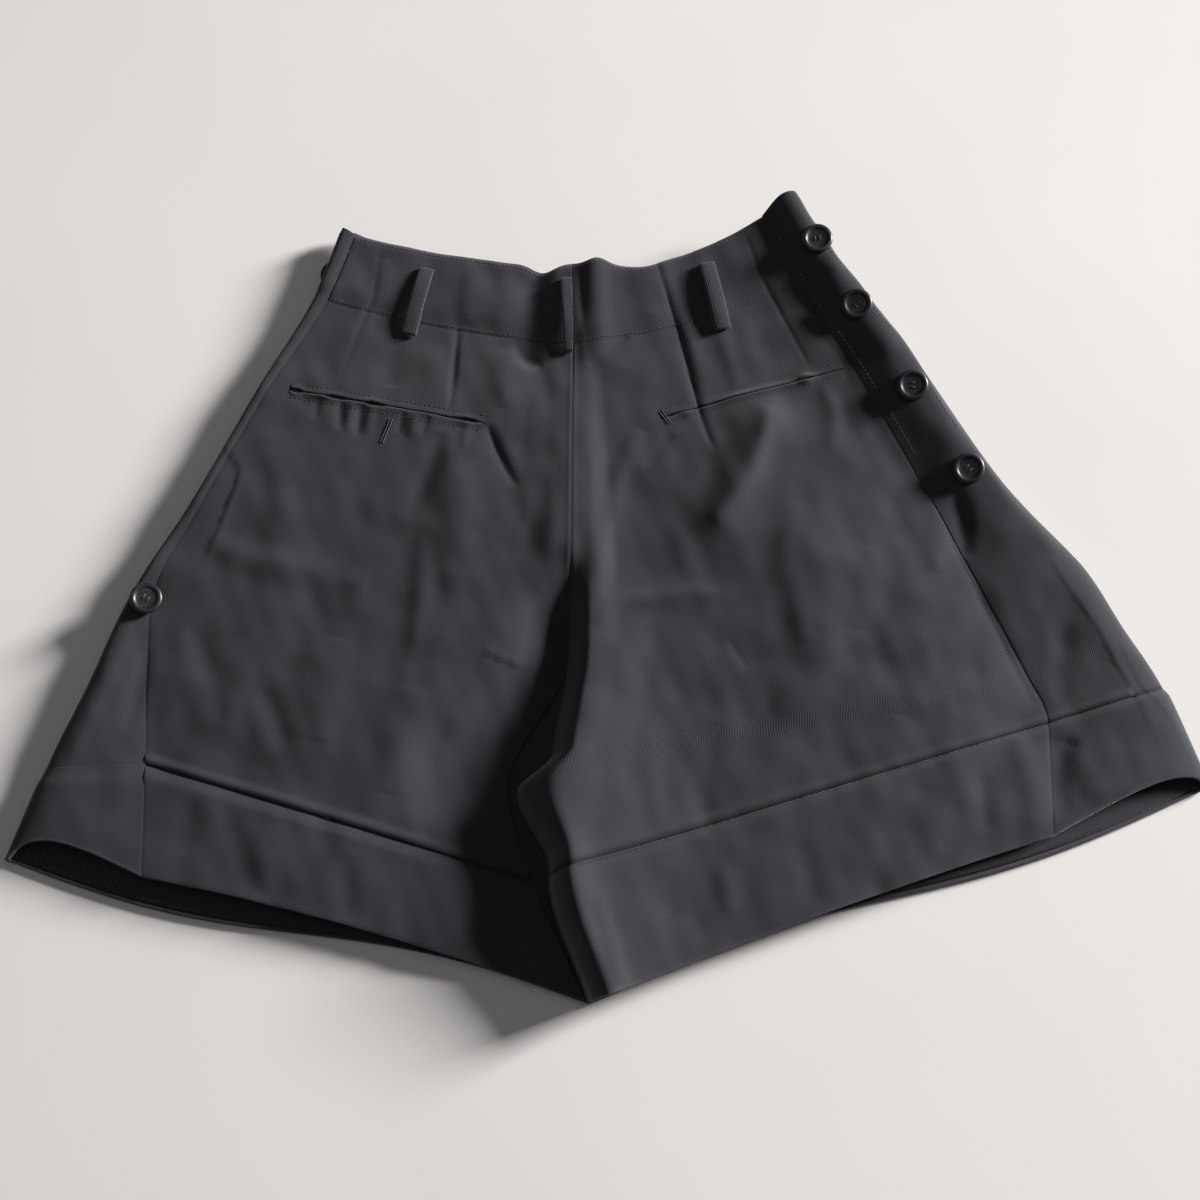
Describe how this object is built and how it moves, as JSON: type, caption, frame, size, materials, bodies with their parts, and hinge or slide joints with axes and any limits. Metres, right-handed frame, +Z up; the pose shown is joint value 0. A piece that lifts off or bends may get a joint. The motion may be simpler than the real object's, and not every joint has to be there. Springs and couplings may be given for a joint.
{
  "type": "pleated shorts",
  "caption": "High-waisted wide-leg shorts in twill with turn-up cuffs, side button plackets and back welt pockets, lying flat back side up.",
  "frame": {"origin": "centre of the bounding box in plan, on the surface that the shorts lie on", "axes": "+X across the shorts from the wearer's left to right, +Y from the hems to the waist, +Z up out of the surface, the back side up"},
  "size_m": [0.7529, 0.5328, 0.0353],
  "materials": {
    "twill": "charcoal twill with a soft sheen",
    "button_gloss": "glossy near-black"
  },
  "bodies": {
    "root": {"back_left": "twill", "back_right": "twill", "front_left": "twill", "front_right": "twill", "cuff_back_left": "twill", "cuff_back_right": "twill", "cuff_front_left": "twill", "cuff_front_right": "twill", "waistband_back_left": "twill", "waistband_back_right": "twill", "waistband_front": "twill", "belt_loop_left": "twill", "belt_loop_centre": "twill", "belt_loop_right": "twill", "welt_left_upper": "twill", "welt_left_lower": "twill", "welt_right_upper": "twill", "welt_right_lower": "twill", "placket_left": "twill", "placket_right": "twill", "button_left_1": "button_gloss", "button_left_2": "button_gloss", "button_left_3": "button_gloss", "button_left_4": "button_gloss", "button_right_1": "button_gloss", "button_right_2": "button_gloss", "button_right_3": "button_gloss", "button_right_4": "button_gloss"}
  },
  "joints": []
}
